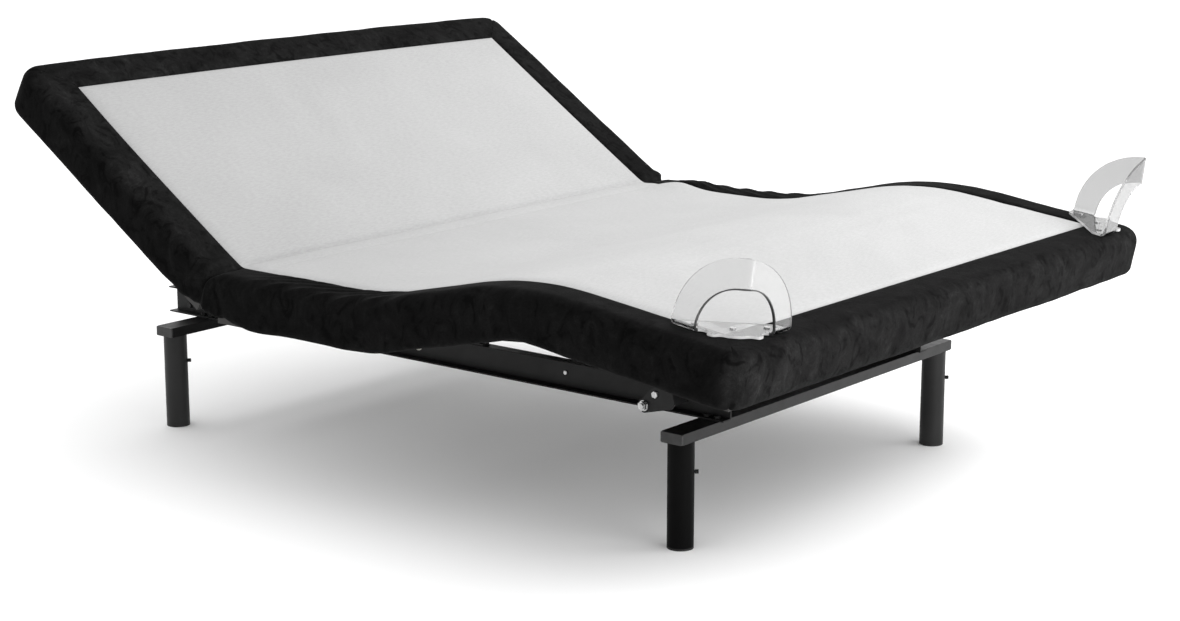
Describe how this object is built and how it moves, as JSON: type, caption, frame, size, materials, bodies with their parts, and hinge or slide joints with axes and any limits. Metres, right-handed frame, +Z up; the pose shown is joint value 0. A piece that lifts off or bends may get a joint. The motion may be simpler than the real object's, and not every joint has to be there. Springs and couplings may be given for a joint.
{
  "type": "adjustable bed base",
  "caption": "Powered adjustable bed base: upholstered head, seat, thigh and calf sections on a steel frame with round legs and clear mattress retainers.",
  "frame": {"origin": "on the floor under the middle of the bed's rest-pose box", "axes": "+Z up, +Y from the foot end to the head end, +X across the bed to the right of someone standing at the foot and looking to the head"},
  "size_m": [1.51, 1.8883, 0.8105],
  "materials": {
    "frame_black": "semi-gloss powder coat, near black",
    "beam_grey": "satin powder coat, dark grey",
    "zinc_hardware": "bright zinc plated steel",
    "black_plastic": "fine textured moulding",
    "bush_plastic": "natural acetal",
    "plywood": "sawn plywood, unfinished",
    "pine_board": "planed softwood, unfinished",
    "top_cloth": "woven light grey cloth over foam",
    "border_velour": "short pile velour, near black",
    "clear_acrylic": "clear polished acrylic sheet",
    "rod_steel": "ground steel rod"
  },
  "bodies": {
    "frame": {"rail_left": "frame_black", "rail_right": "frame_black", "foot_crossbeam": "beam_grey", "head_crossbeam": "frame_black", "crossbeam_end_caps": "black_plastic", "leg_foot_left": "frame_black", "leg_foot_right": "frame_black", "leg_head_left": "frame_black", "leg_head_right": "frame_black", "leg_glides": "black_plastic", "leg_studs": "zinc_hardware", "leg_lock_screws": "black_plastic", "rail_bolts": "zinc_hardware", "seat_subframe": "frame_black", "actuator_crossmembers": "frame_black", "seat_deck_board": "plywood", "seat_side_boards": "pine_board", "seat_foam": "top_cloth", "seat_side_padding": "border_velour", "seat_hinge_leaves": "frame_black", "deck_hinge_pins": "zinc_hardware", "torque_tube_bushes": "bush_plastic", "control_box": "black_plastic", "power_inlet": "black_plastic", "head_actuator_motor": "black_plastic", "head_actuator_tube": "black_plastic", "knee_actuator_motor": "black_plastic", "knee_actuator_tube": "black_plastic", "foot_link_bolts": "zinc_hardware"},
    "head_section": {"head_deck_board": "plywood", "head_frame_boards": "pine_board", "head_foam": "top_cloth", "head_side_padding": "border_velour", "head_end_padding": "border_velour", "head_hinge_leaves": "frame_black", "head_lift_brackets": "frame_black"},
    "thigh_section": {"thigh_deck_board": "plywood", "thigh_frame_boards": "pine_board", "thigh_foam": "top_cloth", "thigh_side_padding": "border_velour", "thigh_hinge_leaves": "frame_black", "knee_hinge_pins": "zinc_hardware", "thigh_lift_brackets": "frame_black"},
    "calf_section": {"calf_deck_board": "plywood", "calf_frame_boards": "pine_board", "calf_foam": "top_cloth", "calf_side_padding": "border_velour", "calf_end_padding": "border_velour", "calf_hinge_leaves": "frame_black", "calf_link_brackets": "frame_black", "retainer_left": "clear_acrylic", "retainer_right": "clear_acrylic", "retainer_screws": "zinc_hardware"},
    "foot_link_pair": {"foot_links": "frame_black"},
    "head_torque_arm": {"head_torque_tube": "frame_black"},
    "head_link_pair": {"head_lift_links": "frame_black"},
    "knee_torque_arm": {"knee_torque_tube": "frame_black"},
    "knee_link_pair": {"knee_lift_links": "frame_black"},
    "head_rod": {"head_actuator_rod": "rod_steel"},
    "knee_rod": {"knee_actuator_rod": "rod_steel"}
  },
  "joints": [
    {"name": "head_lift", "type": "hinge", "parent": "frame", "child": "head_section", "pos_m": [0, 0.341, 0.434], "axis": [1, 0, 0], "range_deg": [-33.5, 26.5]},
    {"name": "knee_lift", "type": "hinge", "parent": "frame", "child": "thigh_section", "pos_m": [0, -0.072, 0.434], "axis": [-1, 0, 0], "range_deg": [-13, 19]},
    {"name": "knee_hinge", "type": "hinge", "parent": "thigh_section", "child": "calf_section", "pos_m": [0, -0.4374, 0.42496], "axis": [1, 0, 0], "range_deg": [-20.05, 29.28]},
    {"name": "foot_link_pivot", "type": "hinge", "parent": "frame", "child": "foot_link_pair", "pos_m": [0, -0.488, 0.247], "axis": [-1, 0, 0], "range_deg": [-19.8, 28.91]},
    {"name": "head_torque_pivot", "type": "hinge", "parent": "frame", "child": "head_torque_arm", "pos_m": [0, 0.341, 0.256], "axis": [1, 0, 0], "range_deg": [-33.55, 26.55]},
    {"name": "head_link_pivot", "type": "hinge", "parent": "head_torque_arm", "child": "head_link_pair", "pos_m": [0, 0.60883, 0.3949], "axis": [-1, 0, 0], "range_deg": [-33.55, 26.55]},
    {"name": "knee_torque_pivot", "type": "hinge", "parent": "frame", "child": "knee_torque_arm", "pos_m": [0, 0.158, 0.256], "axis": [-1, 0, 0], "range_deg": [-13.05, 19.05]},
    {"name": "knee_link_pivot", "type": "hinge", "parent": "knee_torque_arm", "child": "knee_link_pair", "pos_m": [0, -0.0733, 0.27656], "axis": [1, 0, 0], "range_deg": [-13.05, 19.05]},
    {"name": "head_rod_slide", "type": "slide", "parent": "frame", "child": "head_rod", "axis": [0, -1, 0], "range_m": [-0.0525, 0.0415]},
    {"name": "knee_rod_slide", "type": "slide", "parent": "frame", "child": "knee_rod", "axis": [0, 1, 0], "range_m": [-0.0197, 0.0288]}
  ],
  "couplings": [
    {"joint": "knee_hinge", "follows": "knee_lift", "ratio": 1.5385},
    {"joint": "foot_link_pivot", "follows": "knee_lift", "ratio": 1.5192},
    {"joint": "head_torque_pivot", "follows": "head_lift", "ratio": 1},
    {"joint": "head_link_pivot", "follows": "head_lift", "ratio": 1},
    {"joint": "knee_torque_pivot", "follows": "knee_lift", "ratio": 1},
    {"joint": "knee_link_pivot", "follows": "knee_lift", "ratio": 1},
    {"joint": "head_rod_slide", "follows": "head_lift", "m_per_rad": 0.089},
    {"joint": "knee_rod_slide", "follows": "knee_lift", "m_per_rad": 0.0857}
  ]
}
